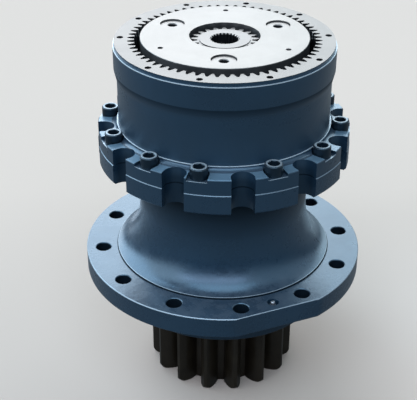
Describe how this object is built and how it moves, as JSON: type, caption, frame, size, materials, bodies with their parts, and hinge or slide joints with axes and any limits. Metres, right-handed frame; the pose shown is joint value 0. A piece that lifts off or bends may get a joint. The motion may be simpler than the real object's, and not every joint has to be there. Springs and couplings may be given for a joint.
{
  "type": "swing drive",
  "caption": "Slewing gearbox with an open planetary stage on top, castellated case joint, mounting flange with a flat, and an output pinion below.",
  "frame": {"origin": "centre of the mounting flange's lower face, on the drive's axis", "axes": "+Z along the axis towards the motor's side; -Y out of the flange's flat"},
  "size_m": [0.404, 0.3942, 0.5268],
  "materials": {
    "case_paint": "satin dark blue paint",
    "screw_paint": "satin dark blue paint over black screws",
    "dark_steel": "dark heat-treated steel, oiled",
    "machined_steel": "turned bright steel",
    "gear_steel": "ground gear steel",
    "bearing_steel": "ground bearing steel",
    "plain_steel": "plain steel",
    "spring_steel": "blued spring steel",
    "plated_steel": "zinc plated",
    "cast_steel": "as cast, machined faces",
    "bronze": "satin bronze",
    "seal_rubber": "matt black"
  },
  "bodies": {
    "housing": {"ring_gear": "case_paint", "lower_housing": "case_paint", "joint_bolts": "screw_paint", "case_o_ring": "seal_rubber", "grease_nipple": "plated_steel", "oil_seal": "seal_rubber", "lower_outer_race": "bearing_steel", "upper_outer_race": "bearing_steel"},
    "output": {"pinion_shaft": "dark_steel", "seal_sleeve": "bearing_steel", "lower_inner_race": "bearing_steel", "upper_inner_race": "bearing_steel", "lock_washer": "plain_steel", "bearing_locknut": "plain_steel", "second_carrier": "cast_steel", "second_planet_pins": "bearing_steel", "second_pin_locks": "plain_steel", "second_thrust_washers": "bronze", "carrier_retaining_ring": "spring_steel", "shaft_thrust_washer": "bronze"},
    "lower_roller_set": {"lower_rollers": "bearing_steel", "lower_cage": "plain_steel"},
    "upper_roller_set": {"upper_rollers": "bearing_steel", "upper_cage": "plain_steel"},
    "first_carrier_set": {"first_carrier": "machined_steel", "first_planet_pins": "machined_steel", "first_pin_locks": "plain_steel", "first_thrust_washers": "bronze", "second_sun": "gear_steel", "second_sun_ring": "spring_steel", "sun_thrust_washer": "bronze"},
    "first_sun_gear": {"first_sun": "machined_steel"},
    "second_planet_gear_1": {"second_planet_1": "gear_steel"},
    "second_needle_cage_1": {"second_needles_1": "bearing_steel"},
    "second_planet_gear_2": {"second_planet_2": "gear_steel"},
    "second_needle_cage_2": {"second_needles_2": "bearing_steel"},
    "second_planet_gear_3": {"second_planet_3": "gear_steel"},
    "second_needle_cage_3": {"second_needles_3": "bearing_steel"},
    "second_planet_gear_4": {"second_planet_4": "gear_steel"},
    "second_needle_cage_4": {"second_needles_4": "bearing_steel"},
    "first_planet_gear_1": {"first_planet_1": "gear_steel"},
    "first_needle_cage_1": {"first_needles_1": "bearing_steel"},
    "first_planet_gear_2": {"first_planet_2": "gear_steel"},
    "first_needle_cage_2": {"first_needles_2": "bearing_steel"},
    "first_planet_gear_3": {"first_planet_3": "gear_steel"},
    "first_needle_cage_3": {"first_needles_3": "bearing_steel"}
  },
  "joints": [
    {"name": "output_spin", "type": "hinge", "parent": "housing", "child": "output", "pos_m": [0, 0, -0.1], "axis": [0, 0, 1], "continuous": true},
    {"name": "first_carrier_spin", "type": "hinge", "parent": "housing", "child": "first_carrier_set", "pos_m": [0, 0, 0.3], "axis": [0, 0, 1], "continuous": true},
    {"name": "first_sun_spin", "type": "hinge", "parent": "housing", "child": "first_sun_gear", "pos_m": [0, 0, 0.33], "axis": [0, 0, 1], "continuous": true},
    {"name": "lower_rollers_spin", "type": "hinge", "parent": "housing", "child": "lower_roller_set", "pos_m": [0, 0, 0.003], "axis": [0, 0, 1], "continuous": true},
    {"name": "upper_rollers_spin", "type": "hinge", "parent": "housing", "child": "upper_roller_set", "pos_m": [0, 0, 0.136], "axis": [0, 0, 1], "continuous": true},
    {"name": "second_planet_spin_1", "type": "hinge", "parent": "output", "child": "second_planet_gear_1", "pos_m": [0.07518, 0.02736, 0.245], "axis": [0, 0, 1], "continuous": true},
    {"name": "second_needles_spin_1", "type": "hinge", "parent": "output", "child": "second_needle_cage_1", "pos_m": [0.07518, 0.02736, 0.245], "axis": [0, 0, 1], "continuous": true},
    {"name": "second_planet_spin_2", "type": "hinge", "parent": "output", "child": "second_planet_gear_2", "pos_m": [-0.02736, 0.07518, 0.245], "axis": [0, 0, 1], "continuous": true},
    {"name": "second_needles_spin_2", "type": "hinge", "parent": "output", "child": "second_needle_cage_2", "pos_m": [-0.02736, 0.07518, 0.245], "axis": [0, 0, 1], "continuous": true},
    {"name": "second_planet_spin_3", "type": "hinge", "parent": "output", "child": "second_planet_gear_3", "pos_m": [-0.07518, -0.02736, 0.245], "axis": [0, 0, 1], "continuous": true},
    {"name": "second_needles_spin_3", "type": "hinge", "parent": "output", "child": "second_needle_cage_3", "pos_m": [-0.07518, -0.02736, 0.245], "axis": [0, 0, 1], "continuous": true},
    {"name": "second_planet_spin_4", "type": "hinge", "parent": "output", "child": "second_planet_gear_4", "pos_m": [0.02736, -0.07518, 0.245], "axis": [0, 0, 1], "continuous": true},
    {"name": "second_needles_spin_4", "type": "hinge", "parent": "output", "child": "second_needle_cage_4", "pos_m": [0.02736, -0.07518, 0.245], "axis": [0, 0, 1], "continuous": true},
    {"name": "first_planet_spin_1", "type": "hinge", "parent": "first_carrier_set", "child": "first_planet_gear_1", "pos_m": [0.08354, 0.00878, 0.322], "axis": [0, 0, 1], "continuous": true},
    {"name": "first_needles_spin_1", "type": "hinge", "parent": "first_carrier_set", "child": "first_needle_cage_1", "pos_m": [0.08354, 0.00878, 0.322], "axis": [0, 0, 1], "continuous": true},
    {"name": "first_planet_spin_2", "type": "hinge", "parent": "first_carrier_set", "child": "first_planet_gear_2", "pos_m": [-0.04937, 0.06796, 0.322], "axis": [0, 0, 1], "continuous": true},
    {"name": "first_needles_spin_2", "type": "hinge", "parent": "first_carrier_set", "child": "first_needle_cage_2", "pos_m": [-0.04937, 0.06796, 0.322], "axis": [0, 0, 1], "continuous": true},
    {"name": "first_planet_spin_3", "type": "hinge", "parent": "first_carrier_set", "child": "first_planet_gear_3", "pos_m": [-0.03417, -0.07674, 0.322], "axis": [0, 0, 1], "continuous": true},
    {"name": "first_needles_spin_3", "type": "hinge", "parent": "first_carrier_set", "child": "first_needle_cage_3", "pos_m": [-0.03417, -0.07674, 0.322], "axis": [0, 0, 1], "continuous": true}
  ],
  "couplings": [
    {"joint": "first_carrier_spin", "follows": "output_spin", "ratio": 4.7059},
    {"joint": "first_sun_spin", "follows": "output_spin", "ratio": 18.824},
    {"joint": "lower_rollers_spin", "follows": "output_spin", "ratio": 0.44133},
    {"joint": "upper_rollers_spin", "follows": "output_spin", "ratio": 0.44365},
    {"joint": "second_planet_spin_1", "follows": "output_spin", "ratio": -2.7391},
    {"joint": "second_needles_spin_1", "follows": "output_spin", "ratio": -1.5556},
    {"joint": "second_planet_spin_2", "follows": "output_spin", "ratio": -2.7391},
    {"joint": "second_needles_spin_2", "follows": "output_spin", "ratio": -1.5556},
    {"joint": "second_planet_spin_3", "follows": "output_spin", "ratio": -2.7391},
    {"joint": "second_needles_spin_3", "follows": "output_spin", "ratio": -1.5556},
    {"joint": "second_planet_spin_4", "follows": "output_spin", "ratio": -2.7391},
    {"joint": "second_needles_spin_4", "follows": "output_spin", "ratio": -1.5556},
    {"joint": "first_planet_spin_1", "follows": "output_spin", "ratio": -14.118},
    {"joint": "first_needles_spin_1", "follows": "output_spin", "ratio": -8.057},
    {"joint": "first_planet_spin_2", "follows": "output_spin", "ratio": -14.118},
    {"joint": "first_needles_spin_2", "follows": "output_spin", "ratio": -8.057},
    {"joint": "first_planet_spin_3", "follows": "output_spin", "ratio": -14.118},
    {"joint": "first_needles_spin_3", "follows": "output_spin", "ratio": -8.057}
  ]
}
